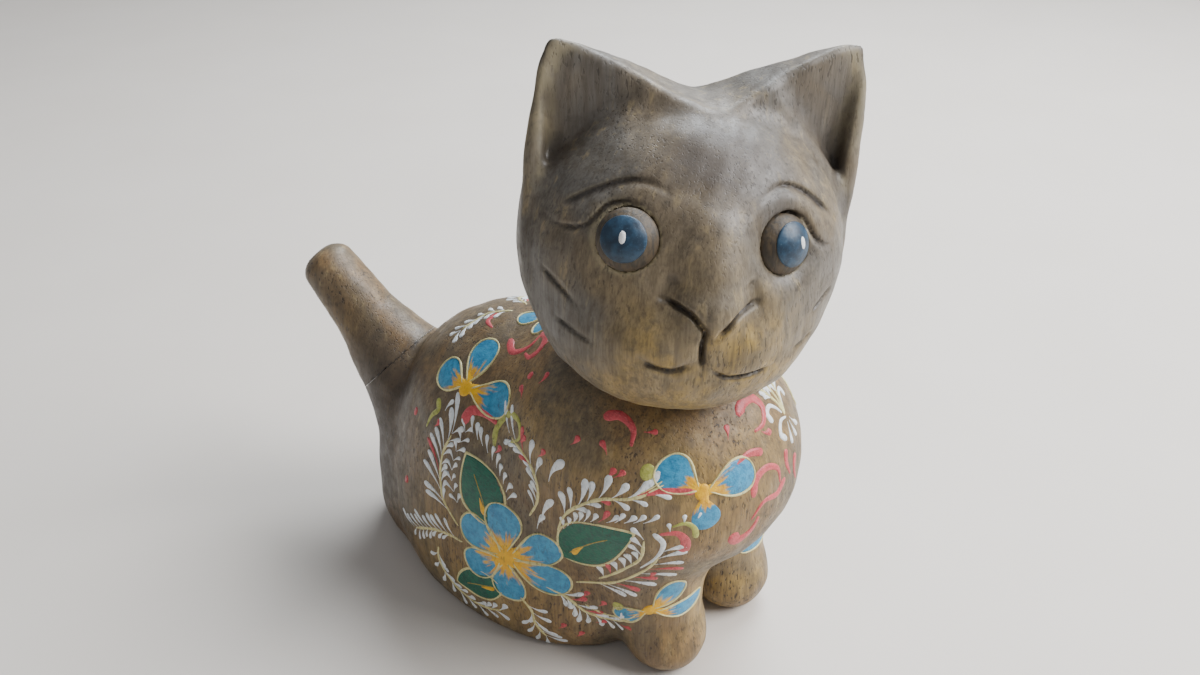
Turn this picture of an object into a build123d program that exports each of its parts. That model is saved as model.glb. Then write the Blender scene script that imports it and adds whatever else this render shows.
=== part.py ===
"""Carved and painted wooden cat, in millimetres.

The cat stands on the plane z = 0 and its body faces -Y, so its right side is at -X.
The origin is on the underside, below the middle of the body.  The body, the head and
the tail are carved from separate blocks: the head sits on a flat neck seat and turns
towards the cat's right, and the tail goes on from a stub carved on the rump.  Each is
held by a hidden dowel, and the two domed eyes are set into round sockets in the face.
"""
from build123d import *
import os

os.makedirs("parts", exist_ok=True)

# ---- driving dimensions (mm) ----

NECK_SEAT = 68.0                      # height of the flat joint between body and head
NECK_CLEARANCE = 0.3                  # gap round the head where it sinks into the shoulders

# body: centres and half-axes of the carved masses
BARREL, BARREL_SIZE = (1.0, 9.5, 31.0), (28.0, 39.0, 33.0)
HAUNCH, HAUNCH_SIZE = (10.0, 11.0, 13.0), (19.5, 37.0, 28.0)
CHEST, CHEST_SIZE = (4.0, -21.0, 45.0), (28.0, 27.0, 25.0)
NECK, NECK_SIZE = (0.8, -15.0, 52.0), (23.0, 24.0, 20.5)
BODY_MIDDLE = 1.1                     # the haunches lie evenly about this x
LEG_MIDDLE = 5.2                      # the forelegs lie evenly about this x
SHOULDER, SHOULDER_RADIUS = (11.0, -22.0, 34.0), 15.0
ANKLE, ANKLE_RADIUS = (11.6, -29.6, 7.0), 7.9
PAW, PAW_SIZE = (11.7, -30.8, 6.5), (8.4, 8.6, 7.8)
RUMP_TOP, RUMP_TOP_RADIUS = (-5.5, 42.0, 34.0), 12.5
RUMP_FOOT, RUMP_FOOT_RADIUS = (-7.5, 41.0, 8.0), 13.0

# tail: centre line and radii, from inside the rump to the blunt tip
TAIL_ROOT, TAIL_BEND, TAIL_TIP = (-3.0, 38.0, 28.0), (-7.0, 52.0, 42.0), (-11.5, 66.5, 61.0)
ROOT_RADIUS, BEND_RADIUS, TIP_RADIUS = 13.2, 8.3, 6.2
TAIL_SEAT_AT = 18.2                   # flat joint across the tail's stub, from TAIL_ROOT

# head, in its own frame: x to the cat's left, y backwards, z up
HEAD_CENTRE = (1.5, -23.5, 91.0)
HEAD_YAW, HEAD_PITCH, HEAD_ROLL = -37.0, 6.0, 7.5
SKULL, SKULL_SIZE = (0.6, 0.0, 1.0), (28.7, 25.0, 26.3)
MUZZLE, MUZZLE_SIZE = (-1.0, -10.0, -11.0), (20.0, 15.5, 12.5)
FACE_SHIFT = -1.5                     # the face is carved a little off the middle
NOSE_TOP, NOSE_TIP = (0.0, -21.0, 10.0), (0.0, -24.2, -1.5)
NOSE_TOP_RADIUS, NOSE_TIP_RADIUS = 2.5, 4.2

# ears: one wedge-shaped ridge across the head, with a valley between two points
EAR_SHIFT, EAR_ROLL = 0.8, -3.3
EAR_OUTLINE = [(0, 2), (22, -12), (28.6, -1), (30.0, 12), (29.3, 25), (27.2, 36.6), (0, 26.6)]
RIDGE_PLAN = [(0, -8.5), (27, -1.6), (31, -0.8), (31, 3.2), (27, 3.8), (0, 10.4)]
EAR_BLOCK = 15.0                      # half the thickness of the block they are cut from
HOLLOW = [(7, 15), (26.0, 6), (26.6, 33.6), (7, 26.6)]
HOLLOW_FLOOR = 0.8

# eyes: domed plugs
EYE_MIDDLE = -2.0                     # the eyes lie evenly about this x of the head
EYE, EYE_AXIS = (13.0, -20.2, 8.7), (0.32, -0.91, 0.26)
EYE_RADIUS, EYE_DOME, EYE_DEPTH = 4.94, 2.6, 5.0
DOME_RADIUS = (EYE_RADIUS**2 + EYE_DOME**2) / (2 * EYE_DOME)
SOCKET_RIM, SOCKET_RIM_DEPTH = 5.9, 0.8

# dowels
DOWEL_CHAMFER, GLUE_GAP = 0.6, 0.05
NECK_DOWEL_AT, NECK_DOWEL_RADIUS, NECK_DOWEL_LENGTH = (1.2, -20.0), 4.0, 36.0
TAIL_DOWEL_RADIUS, TAIL_DOWEL_LENGTH = 3.0, 22.0


def ellipsoid(centre, size, grow=0.0):
    """A solid ellipsoid with these half-axes, each longer by grow."""
    ball = Sphere(1, mode=Mode.PRIVATE)
    half_axes = tuple(half + grow for half in size)
    return Pos(*centre) * scale(ball, by=half_axes, mode=Mode.PRIVATE)


def beside(middle, point, side):
    """The point on one side (+1 left, -1 right) of the plane x = middle."""
    return (middle + side * point[0], point[1], point[2])


def limb(start, end, start_radius, end_radius):
    """A tapered round limb with a ball at each end."""
    run = Vector(*end) - Vector(*start)
    lean = (start_radius - end_radius) / run.length
    slim = (1 - lean**2) ** 0.5
    shaft = Cone(
        start_radius * slim,
        end_radius * slim,
        run.length - lean * (start_radius - end_radius),
        align=(Align.CENTER, Align.CENTER, Align.MIN),
        mode=Mode.PRIVATE,
    )
    start_ball = Sphere(start_radius, mode=Mode.PRIVATE)
    end_ball = Sphere(end_radius, mode=Mode.PRIVATE)
    whole = start_ball + Pos(0, 0, lean * start_radius) * shaft + Pos(0, 0, run.length) * end_ball
    return Plane(origin=start, z_dir=run).location * whole


def rod(plane, radius, start, end):
    """A plain round rod along the plane's normal, between two heights above it."""
    length = end - start
    return plane.location * Pos(0, 0, start + length / 2) * Cylinder(radius, length, mode=Mode.PRIVATE)


def dowel_bore(plane, radius, length):
    """The blind bore that a dowel centred on the plane needs on both sides of it."""
    half = length / 2 + 2 * GLUE_GAP
    return rod(plane, radius + GLUE_GAP, -half, half)


# ---- frames ----

# The head turns, lifts and tilts about its centre.
head_place = (
    Location(HEAD_CENTRE)
    * Location((0, 0, 0), (0, 0, HEAD_YAW))
    * Location((0, 0, 0), (-HEAD_PITCH, 0, 0))
    * Location((0, 0, 0), (0, HEAD_ROLL, 0))
)
ear_place = head_place * Pos(EAR_SHIFT, 0, 0) * Location((0, 0, 0), (0, EAR_ROLL, 0))
ear_plan = Plane(ear_place)
ear_front = Plane(ear_plan.origin, x_dir=ear_plan.x_dir, z_dir=-ear_plan.y_dir)

neck_plane = Plane((*NECK_DOWEL_AT, NECK_SEAT))
tail_axis = Vector(*TAIL_BEND) - Vector(*TAIL_ROOT)
tail_seat = Plane(TAIL_ROOT, z_dir=tail_axis).offset(TAIL_SEAT_AT)


def eye_plane(side):
    """The plane of an eye's socket, on the head's left (+1) or right (-1)."""
    where = Pos(EYE_MIDDLE + side * EYE[0], EYE[1], EYE[2])
    outward = Plane(origin=(0, 0, 0), z_dir=(side * EYE_AXIS[0], EYE_AXIS[1], EYE_AXIS[2]))
    return Plane(head_place * where * outward.location)


# ---- body ----

# The head sinks into the shoulders, down to a flat seat.
dish_skull = ellipsoid(SKULL, SKULL_SIZE, NECK_CLEARANCE)
dish_muzzle = ellipsoid(MUZZLE, MUZZLE_SIZE, NECK_CLEARANCE)
head_room = head_place * (dish_skull + dish_muzzle)
neck_dish = split(head_room, bisect_by=Plane.XY.offset(NECK_SEAT), keep=Keep.TOP)

with BuildPart() as body:
    add(ellipsoid(BARREL, BARREL_SIZE))
    add(ellipsoid(CHEST, CHEST_SIZE))
    add(ellipsoid(NECK, NECK_SIZE))
    add(limb(RUMP_TOP, RUMP_FOOT, RUMP_TOP_RADIUS, RUMP_FOOT_RADIUS))
    for side in (-1, 1):
        add(ellipsoid(beside(BODY_MIDDLE, HAUNCH, side), HAUNCH_SIZE))
        shoulder = beside(LEG_MIDDLE, SHOULDER, side)
        add(limb(shoulder, beside(LEG_MIDDLE, ANKLE, side), SHOULDER_RADIUS, ANKLE_RADIUS))
        add(ellipsoid(beside(LEG_MIDDLE, PAW, side), PAW_SIZE))
    add(limb(TAIL_ROOT, TAIL_BEND, ROOT_RADIUS, BEND_RADIUS))
    split(bisect_by=Plane.XY, keep=Keep.TOP)
    split(bisect_by=tail_seat, keep=Keep.BOTTOM)
    add(neck_dish, mode=Mode.SUBTRACT)
    # a blind bore for each dowel
    add(dowel_bore(tail_seat, TAIL_DOWEL_RADIUS, TAIL_DOWEL_LENGTH), mode=Mode.SUBTRACT)
    add(dowel_bore(neck_plane, NECK_DOWEL_RADIUS, NECK_DOWEL_LENGTH), mode=Mode.SUBTRACT)
body.part.label = "body"
export_step(body.part, "parts/body.step")

# ---- tail: the rest of the tail beyond its seat, with a blunt round tip ----

with BuildPart() as tail:
    add(limb(TAIL_ROOT, TAIL_BEND, ROOT_RADIUS, BEND_RADIUS))
    add(limb(TAIL_BEND, TAIL_TIP, BEND_RADIUS, TIP_RADIUS))
    split(bisect_by=tail_seat, keep=Keep.TOP)
    add(dowel_bore(tail_seat, TAIL_DOWEL_RADIUS, TAIL_DOWEL_LENGTH), mode=Mode.SUBTRACT)
tail.part.label = "tail"
export_step(tail.part, "parts/tail.step")

# ---- ears: a ridge cut to its outline, thinned towards the tips, then hollowed ----

with BuildPart() as ears:
    with BuildSketch(ear_front):
        with BuildLine():
            Polyline(EAR_OUTLINE, close=True)
        make_face()
        mirror(about=Plane.YZ)
    extrude(amount=EAR_BLOCK, both=True)
    with BuildSketch(ear_plan.offset(-EAR_BLOCK)):
        with BuildLine():
            Polyline(RIDGE_PLAN, close=True)
        make_face()
        mirror(about=Plane.YZ)
    extrude(amount=4 * EAR_BLOCK, mode=Mode.INTERSECT)
    with BuildSketch(ear_front.offset(-HOLLOW_FLOOR)):
        with BuildLine():
            Polyline(HOLLOW, close=True)
        make_face()
        mirror(about=Plane.YZ)
    extrude(amount=EAR_BLOCK, mode=Mode.SUBTRACT)

# ---- head ----

with BuildPart() as head:
    add(head_place * ellipsoid(SKULL, SKULL_SIZE))
    add(head_place * ellipsoid(MUZZLE, MUZZLE_SIZE))
    add(ears.part)
    nose_ends = [(FACE_SHIFT + x, y, z) for x, y, z in (NOSE_TOP, NOSE_TIP)]
    add(head_place * limb(*nose_ends, NOSE_TOP_RADIUS, NOSE_TIP_RADIUS))
    split(bisect_by=Plane.XY.offset(NECK_SEAT), keep=Keep.TOP)
    for side in (-1, 1):
        socket = eye_plane(side)
        add(rod(socket, SOCKET_RIM, -SOCKET_RIM_DEPTH, EYE_DEPTH), mode=Mode.SUBTRACT)
        add(rod(socket, EYE_RADIUS + GLUE_GAP, -EYE_DEPTH - GLUE_GAP, 0), mode=Mode.SUBTRACT)
    add(dowel_bore(neck_plane, NECK_DOWEL_RADIUS, NECK_DOWEL_LENGTH), mode=Mode.SUBTRACT)
head.part.label = "head"
export_step(head.part, "parts/head.step")

# ---- eyes: a round plug with a domed face ----

for side, name in ((-1, "right_eye"), (1, "left_eye")):
    with BuildPart() as eye:
        with BuildSketch(Plane.XZ):
            with BuildLine():
                Polyline((0, EYE_DOME), (0, -EYE_DEPTH), (EYE_RADIUS, -EYE_DEPTH), (EYE_RADIUS, 0))
                RadiusArc((EYE_RADIUS, 0), (0, EYE_DOME), -DOME_RADIUS)
            make_face()
        revolve(axis=Axis.Z)
    placed = eye_plane(side).location * eye.part
    placed.label = name
    export_step(placed, f"parts/{name}.step")

# ---- dowels ----

for name, seat, radius, length in (
    ("neck_dowel", neck_plane, NECK_DOWEL_RADIUS, NECK_DOWEL_LENGTH),
    ("tail_dowel", tail_seat, TAIL_DOWEL_RADIUS, TAIL_DOWEL_LENGTH),
):
    with BuildPart() as pin:
        with BuildSketch(seat.offset(-length / 2)):
            Circle(radius)
        extrude(amount=length)
        chamfer(pin.edges().filter_by(GeomType.CIRCLE), DOWEL_CHAMFER)
    pin.part.label = name
    export_step(pin.part, f"parts/{name}.step")
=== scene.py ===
"""Looks of the carved and painted wooden cat.

Lengths are in millimetres in the row frame (the cat's body faces -Y, its right side is at
-X, +Z is up) and become metres when a mesh is made.  The wood is carved as one smooth
distance field, cut into the frame's pieces along their real joints.  The paint is laid on
it as thin raised strokes that follow the carved surface.
"""

import math

import bpy
import numpy as np
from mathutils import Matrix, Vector


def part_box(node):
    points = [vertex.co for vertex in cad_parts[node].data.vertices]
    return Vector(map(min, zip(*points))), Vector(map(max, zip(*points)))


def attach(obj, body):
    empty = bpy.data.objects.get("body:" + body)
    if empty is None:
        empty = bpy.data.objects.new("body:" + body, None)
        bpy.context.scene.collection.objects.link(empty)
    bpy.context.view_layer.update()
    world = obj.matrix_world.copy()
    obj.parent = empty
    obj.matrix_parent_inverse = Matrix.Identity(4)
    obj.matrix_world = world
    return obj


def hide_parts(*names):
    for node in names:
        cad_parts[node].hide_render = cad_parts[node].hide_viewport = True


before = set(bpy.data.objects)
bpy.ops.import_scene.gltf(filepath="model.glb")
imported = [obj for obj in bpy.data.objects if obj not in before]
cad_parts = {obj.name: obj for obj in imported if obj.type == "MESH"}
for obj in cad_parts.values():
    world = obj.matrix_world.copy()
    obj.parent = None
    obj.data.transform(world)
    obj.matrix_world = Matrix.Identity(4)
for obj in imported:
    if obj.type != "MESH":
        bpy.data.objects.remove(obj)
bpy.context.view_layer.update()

METRES = 0.001
LEFT, RIGHT = 1, -1  # the sign of X on the cat; anticlockwise or clockwise from a stem

# ---- carved masses: centres and half-axes or radii, near those of the CAD model ----

BARREL, BARREL_SIZE = (1.0, 9.5, 31.0), (28.0, 39.0, 33.0)
HAUNCH, HAUNCH_SIZE = (10.0, 11.0, 13.0), (19.5, 37.0, 28.0)
CHEST, CHEST_SIZE = (4.0, -21.0, 45.0), (28.0, 27.0, 25.0)
NECK, NECK_SIZE = (0.8, -15.0, 52.0), (23.0, 24.0, 20.5)
BODY_MIDDLE, LEG_MIDDLE = 1.1, 5.2
SHOULDER, SHOULDER_RADIUS = (11.0, -22.0, 34.0), 15.0
ANKLE, ANKLE_RADIUS = (11.6, -29.6, 7.0), 7.9
PAW, PAW_SIZE = (11.7, -30.8, 6.5), (8.4, 8.6, 7.8)
RUMP_TOP, RUMP_TOP_RADIUS = (-5.5, 42.0, 34.0), 12.5
RUMP_FOOT, RUMP_FOOT_RADIUS = (-7.5, 41.0, 8.0), 13.0

TAIL_ROOT, TAIL_BEND, TAIL_TIP = (-3.0, 38.0, 28.0), (-7.0, 52.0, 42.0), (-11.5, 66.5, 61.0)
ROOT_RADIUS, BEND_RADIUS, TIP_RADIUS = 13.2, 8.3, 6.2
TAIL_SEAT_AT = 18.2
TIP_BLUNT, TIP_SOFT = 5.5, 4.5
CREASE_HEIGHTS, CREASE_SOFTNESS = (20.0, 42.0), (6.0, 1.2)

HEAD_CENTRE = np.array([1.5, -23.5, 91.0])
HEAD_YAW, HEAD_PITCH, HEAD_ROLL = -37.0, 6.0, 7.5
SKULL, SKULL_SIZE = (0.6, 0.0, 1.0), (28.7, 25.0, 26.3)
MUZZLE, MUZZLE_SIZE = (-1.0, -10.0, -11.0), (20.0, 15.5, 12.5)
FACE_SHIFT = -1.5
NOSE_TOP, NOSE_TIP = (0.0, -21.2, 10.0), (0.0, -24.9, -0.9)
NOSE_TOP_RADIUS, NOSE_TIP_RADIUS = 2.5, 4.2
LIP, LIP_SIZE = (6.0, -20.5, -7.2), (7.5, 6.0, 5.2)
NECK_SEAT = 68.0
JOINT_GAP = 0.03

# ---- how widely each mass runs into the one before it ----

HAUNCH_FILLET, CHEST_FILLET, NECK_FILLET = 8.0, 10.0, 8.0
PAW_FILLET, LEG_FILLET, TAIL_FILLET = 3.0, 4.0, 6.0
MUZZLE_FILLET, EAR_FILLET, NOSE_FILLET, LIP_FILLET = 8.0, 3.0, 5.5, 3.0
FOOT_EDGE, BOWL_EDGE, DISH_EDGE = 1.5, 1.2, 0.5

# ---- blind bores for the two dowels ----

NECK_DOWEL_AT, NECK_BORE_RADIUS, NECK_BORE_HALF = (1.2, -20.0), 4.05, 18.1
TAIL_BORE_RADIUS, TAIL_BORE_HALF = 3.05, 11.1

# ---- eyes: domed beads in round sockets, each at the bottom of a sloped bowl ----

EYE_MIDDLE = -2.0
EYE, EYE_AXIS = np.array([13.0, -20.2, 8.7]), np.array([0.320, -0.911, 0.260])
EYE_RADIUS, EYE_DOME, EYE_DEPTH = 4.94, 2.6, 5.0
DOME_RADIUS = (EYE_RADIUS**2 + EYE_DOME**2) / (2 * EYE_DOME)
BOWL_SLOPE = 2.2
BOWL_SCALE = 1 / math.hypot(1, BOWL_SLOPE)

# ---- ears: one ridge across the head, thin at the tips, with a hollow in each front ----

EAR_SHIFT, EAR_SKEW = 0.8, 0.058
EAR_SIDE = [(-9, 0), (21, -16), (28.4, -2), (30.3, 12), (30.2, 24), (28.3, 40), (-9, 40)]
EAR_HOLLOW = [(26.2, 12.5), (27.0, 40), (3, 40)]
HOLLOW_DEPTH, HOLLOW_FADE = 5.0, 0.22

# ---- carved lines of the face (x from its middle, z), with width and depth ----

BOTH_SIDES = [
    ([(0.4, -4.6), (1.8, -2.8), (3.6, -0.9), (5.6, -0.1), (7.8, 0.3)], 0.55, 1.0),
    ([(5.6, 4.6), (6.9, 1.9), (7.8, -0.6)], 1.3, 0.75),
    ([(10.2, 13.1), (12.8, 13.6), (15.6, 12.6), (17.3, 10.8), (18.6, 9.1),
      (20.4, 8.0), (22.4, 7.6), (24.0, 8.0)], 0.42, 0.65),
    ([(24.6, 0.2), (22.6, -1.5), (19.4, -4.0)], 0.4, 0.5),
    ([(22.2, -7.6), (19.9, -8.4), (16.6, -9.4)], 0.4, 0.4),
]
ONCE = [
    ([(-7.6, 16.0), (-10.2, 16.8), (-13.2, 16.3), (-16.9, 14.4), (-20.3, 11.9), (-23.2, 9.6)], 0.5, 0.7),
    ([(7.8, 16.1), (10.4, 17.2), (13.2, 17.2), (16.7, 15.8), (20.1, 13.6), (23.2, 11.3)], 0.5, 0.8),
    ([(-1.3, -2.6), (-1.1, -6.4), (0.0, -11.0)], 0.48, 1.0),
    ([(-10.8, -9.4), (-7.9, -10.7), (-4.9, -11.2), (-1.7, -9.5)], 0.5, 0.8),
    ([(0.7, -10.2), (2.7, -11.7), (4.9, -12.4), (8.4, -12.0), (12.8, -11.0)], 0.45, 0.8),
]


# ======== distance fields ========

def ellipsoid(p, centre, size):
    q = (p - np.array(centre)) / np.array(size)
    k0 = np.linalg.norm(q, axis=-1)
    k1 = np.linalg.norm(q / np.array(size), axis=-1) + 1e-9
    return k0 * (k0 - 1) / k1


def limb(p, start, end, start_radius, end_radius):
    """A tapered limb with a ball at each end."""
    start, end = np.array(start), np.array(end)
    run = end - start
    square = run @ run
    taper = start_radius - end_radius
    slant = square - taper * taper
    along = (p - start) @ run
    beyond = along - square
    off = (p - start) * square - along[..., None] * run
    across = (off * off).sum(-1)
    turn = np.sign(taper) * taper * taper * across
    side = (np.sqrt(across * slant / square) + along * taper) / square - start_radius
    at_end = np.sqrt(across + beyond * beyond * square) / square - end_radius
    at_start = np.sqrt(across + along * along * square) / square - start_radius
    past_end = np.sign(beyond) * slant * beyond * beyond * square > turn
    past_start = np.sign(along) * slant * along * along * square < turn
    return np.where(past_end, at_end, np.where(past_start, at_start, side))


def join(a, b, soft):
    """Both shapes, with a fillet about as wide as soft."""
    overlap = np.maximum(soft - np.abs(a - b), 0) / soft
    return np.minimum(a, b) - overlap * overlap * soft / 4


def common(a, b, soft):
    """What is inside both shapes, with a rounded edge."""
    return -join(-a, -b, soft)


def polygon(x, z, corners, soft):
    """A convex outline, corners in anticlockwise order."""
    field = None
    for (ax, az), (bx, bz) in zip(corners, corners[1:] + corners[:1]):
        normal = np.array([bz - az, ax - bx]) / math.hypot(bx - ax, bz - az)
        edge = (x - ax) * normal[0] + (z - az) * normal[1]
        field = edge if field is None else common(field, edge, soft)
    return field


def smooth_line(points, steps):
    """Catmull-Rom points along a smooth line through the given ones."""
    p = np.array(points, float)
    p = np.vstack([2 * p[0] - p[1], p, 2 * p[-1] - p[-2]])
    t = np.linspace(0, 1, steps, endpoint=False)[:, None]
    spans = [
        0.5 * (2 * b + (c - a) * t + (2 * a - 5 * b + 4 * c - d) * t**2
               + (3 * b - a - 3 * c + d) * t**3)
        for a, b, c, d in zip(p[:-3], p[1:-2], p[2:-1], p[3:])
    ]
    return np.vstack(spans + [p[-2:-1]])


def line_cut(x, z, points, width, depth):
    """How deep a carved line goes at each place; it is shallower towards its ends."""
    nearest, at, start = np.full(x.shape, 1e9), np.zeros(x.shape), 0.0
    for (ax, az), (bx, bz) in zip(points[:-1], points[1:]):
        ex, ez = bx - ax, bz - az
        run = math.hypot(ex, ez)
        t = np.clip(((x - ax) * ex + (z - az) * ez) / run**2, 0, 1)
        distance = np.hypot(x - ax - t * ex, z - az - t * ez)
        at = np.where(distance < nearest, start + t * run, at)
        nearest = np.minimum(nearest, distance)
        start += run
    fade = np.clip(np.minimum(at, start - at) / (0.22 * start), 0.25, 1)
    return depth * fade * np.exp(-((nearest / width) ** 2))


def head_axes():
    """The head's left, back and up directions in the row frame."""
    yaw, pitch, roll = (math.radians(a) for a in (HEAD_YAW, HEAD_PITCH, HEAD_ROLL))
    ahead = np.array([math.sin(yaw), -math.cos(yaw), 0])
    left = np.array([math.cos(yaw), math.sin(yaw), 0])
    up = np.array([0, 0, 1.0])
    ahead, up = (
        ahead * math.cos(pitch) + up * math.sin(pitch),
        up * math.cos(pitch) - ahead * math.sin(pitch),
    )
    left, up = (
        left * math.cos(roll) - up * math.sin(roll),
        up * math.cos(roll) + left * math.sin(roll),
    )
    return np.array([left, -ahead, up])


HEAD_AXES = head_axes()
FACE_LINES = [
    (folded, smooth_line(points, 5), width, depth)
    for folded, lines in ((True, BOTH_SIDES), (False, ONCE))
    for points, width, depth in lines
]


def in_head(p):
    """Row-frame points in the head's own frame."""
    return (p - HEAD_CENTRE) @ HEAD_AXES.T


def from_head(q):
    return HEAD_CENTRE + np.asarray(q) @ HEAD_AXES


def mirrored(p, middle):
    """Points folded onto the left of the plane x = middle, and measured from it."""
    return np.stack([np.abs(p[..., 0] - middle), p[..., 1], p[..., 2]], -1)


def ears(q):
    """The ridge with both ears, hollowed at the front."""
    x = np.sqrt((q[..., 0] - EAR_SHIFT) ** 2 + 0.6)
    y = q[..., 1]
    z = q[..., 2] - EAR_SKEW * q[..., 0]
    top = z - (26.0 + 0.52 * x - 0.0035 * x * x + 0.10 * (y - 2))
    back = y - (10.6 - 0.28 * x - 0.07 * (z - 10))
    front = -9.0 + 0.20 * x + 0.12 * (z - 10) - y
    ridge = common(common(common(polygon(x, z, EAR_SIDE, 2.5), top, 1.4), back, 3.0), front, 1.5)
    floor = -front - (HOLLOW_DEPTH - HOLLOW_FADE * (z - 12))
    hollow = common(polygon(x, z, EAR_HOLLOW, 2.5), floor, 2.5)
    return common(ridge, -hollow, 2.0)


def head_blank(q):
    """The head before its face is cut in."""
    field = join(ellipsoid(q, SKULL, SKULL_SIZE), ellipsoid(q, MUZZLE, MUZZLE_SIZE), MUZZLE_FILLET)
    field = join(field, ears(q), EAR_FILLET)
    face = mirrored(q, FACE_SHIFT)
    nose = limb(face, NOSE_TOP, NOSE_TIP, NOSE_TOP_RADIUS, NOSE_TIP_RADIUS)
    field = join(field, nose, NOSE_FILLET)
    return join(field, ellipsoid(face, LIP, LIP_SIZE), LIP_FILLET)


def tool_marks(p):
    """Slight unevenness left by the knife and the sandpaper."""
    x, y, z = p[..., 0], p[..., 1], p[..., 2]
    wide = np.sin(0.31 * x + 0.23 * z + 1.3) * np.sin(0.27 * y - 0.21 * z)
    fine = np.sin(0.83 * x - 0.55 * y + 0.4) * np.sin(0.71 * z + 0.62 * y)
    return 0.16 * wide + 0.06 * fine


def head_form(p):
    """The head with its eye sockets and the lines of its face."""
    q = in_head(p)
    field = head_blank(q) + tool_marks(p)
    face = mirrored(q, FACE_SHIFT)
    into = mirrored(q, EYE_MIDDLE) - EYE
    along = into @ EYE_AXIS
    across = np.sqrt(np.maximum((into * into).sum(-1) - along**2, 0))
    bowl = np.maximum(BOWL_SCALE * (across - EYE_RADIUS - BOWL_SLOPE * along), -along)
    field = common(field, -bowl, BOWL_EDGE)
    socket = np.maximum(across - EYE_RADIUS - JOINT_GAP, -EYE_DEPTH - JOINT_GAP - along)
    field = np.maximum(field, -socket)
    front = q[..., 1] < -4
    for folded, line, width, depth in FACE_LINES:
        x = face[..., 0] if folded else q[..., 0] - FACE_SHIFT
        field = np.where(front, field + line_cut(x, q[..., 2], line, width, depth), field)
    return field


def body_form(p):
    """Body and tail together, before they are cut apart."""
    haunch = mirrored(p, BODY_MIDDLE)
    leg = mirrored(p, LEG_MIDDLE)
    barrel = ellipsoid(p, BARREL, BARREL_SIZE)
    field = join(barrel, ellipsoid(haunch, HAUNCH, HAUNCH_SIZE), HAUNCH_FILLET)
    field = join(field, ellipsoid(p, CHEST, CHEST_SIZE), CHEST_FILLET)
    field = join(field, ellipsoid(p, NECK, NECK_SIZE), NECK_FILLET)
    foreleg = limb(leg, SHOULDER, ANKLE, SHOULDER_RADIUS, ANKLE_RADIUS)
    foreleg = join(foreleg, ellipsoid(leg, PAW, PAW_SIZE), PAW_FILLET)
    field = join(field, foreleg, LEG_FILLET)
    tail = join(
        limb(p, TAIL_ROOT, TAIL_BEND, ROOT_RADIUS, BEND_RADIUS),
        limb(p, TAIL_BEND, TAIL_TIP, BEND_RADIUS, TIP_RADIUS),
        TAIL_FILLET,
    )
    rise = np.array(TAIL_TIP) - np.array(TAIL_BEND)
    past_tip = (p - np.array(TAIL_TIP)) @ (rise / np.linalg.norm(rise)) - TIP_BLUNT
    tail = common(tail, past_tip, TIP_SOFT)
    rump = limb(p, RUMP_TOP, RUMP_FOOT, RUMP_TOP_RADIUS, RUMP_FOOT_RADIUS)
    crease = np.interp(p[..., 2], CREASE_HEIGHTS, CREASE_SOFTNESS)
    field = join(field, join(tail, rump, TAIL_FILLET), crease)
    return common(field + tool_marks(p), -p[..., 2], FOOT_EDGE)


def tail_side(p):
    """Above zero beyond the tail's seat."""
    run = np.array(TAIL_BEND) - np.array(TAIL_ROOT)
    return (p - np.array(TAIL_ROOT)) @ (run / np.linalg.norm(run)) - TAIL_SEAT_AT


def bore(along, across, radius, half):
    """The blind bore of a dowel, from the distances along and across its axis."""
    return np.maximum(across - radius, np.abs(along) - half)


def neck_bore(p):
    across = np.hypot(p[..., 0] - NECK_DOWEL_AT[0], p[..., 1] - NECK_DOWEL_AT[1])
    return bore(p[..., 2] - NECK_SEAT, across, NECK_BORE_RADIUS, NECK_BORE_HALF)


def tail_bore(p):
    along = tail_side(p)
    off = p - np.array(TAIL_ROOT)
    across = np.sqrt(np.maximum((off * off).sum(-1) - (along + TAIL_SEAT_AT) ** 2, 0))
    return bore(along, across, TAIL_BORE_RADIUS, TAIL_BORE_HALF)


def head_sawn(p):
    return NECK_SEAT + JOINT_GAP - p[..., 2]


def body_sawn(p):
    return tail_side(p) + JOINT_GAP


def tail_sawn(p):
    return JOINT_GAP - tail_side(p)


def head_wood(p):
    return np.maximum(np.maximum(head_form(p), head_sawn(p)), -neck_bore(p))


def body_wood(p):
    field = np.maximum(body_form(p), body_sawn(p))
    dish = np.maximum(head_blank(in_head(p)) - JOINT_GAP, NECK_SEAT - p[..., 2])
    field = common(field, -dish, DISH_EDGE)
    return np.maximum(field, -np.minimum(neck_bore(p), tail_bore(p)))


def tail_wood(p):
    return np.maximum(np.maximum(body_form(p), tail_sawn(p)), -tail_bore(p))


# ======== meshes from fields ========

BLOCK, BLOCK_REACH = 8, 1.5


def in_batches(field, points, size=150_000):
    values = np.empty(len(points))
    for first in range(0, len(points), size):
        values[first:first + size] = field(points[first:first + size])
    return values


def sample(field, low, high, step):
    """The field on a grid, worked out only in the blocks that the surface may cross."""
    blocks = np.ceil((np.array(high) - low) / (BLOCK * step)).astype(int) + 1
    corner = np.stack(np.meshgrid(*[np.arange(n) for n in blocks], indexing="ij"), -1)
    middles = low + step * (BLOCK * corner + (BLOCK - 1) / 2)
    rough = in_batches(field, middles.reshape(-1, 3)).reshape(blocks)
    crossed = np.abs(rough) < BLOCK * step * BLOCK_REACH
    values = np.empty((*blocks, BLOCK, BLOCK, BLOCK), np.float32)
    values[:] = rough[..., None, None, None]
    within = np.stack(np.meshgrid(*[np.arange(BLOCK)] * 3, indexing="ij"), -1)
    points = low + step * (BLOCK * corner[crossed][:, None, None, None] + within)
    values[crossed] = in_batches(field, points.reshape(-1, 3)).reshape(-1, BLOCK, BLOCK, BLOCK)
    return values.transpose(0, 3, 1, 4, 2, 5).reshape(blocks * BLOCK)


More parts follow.
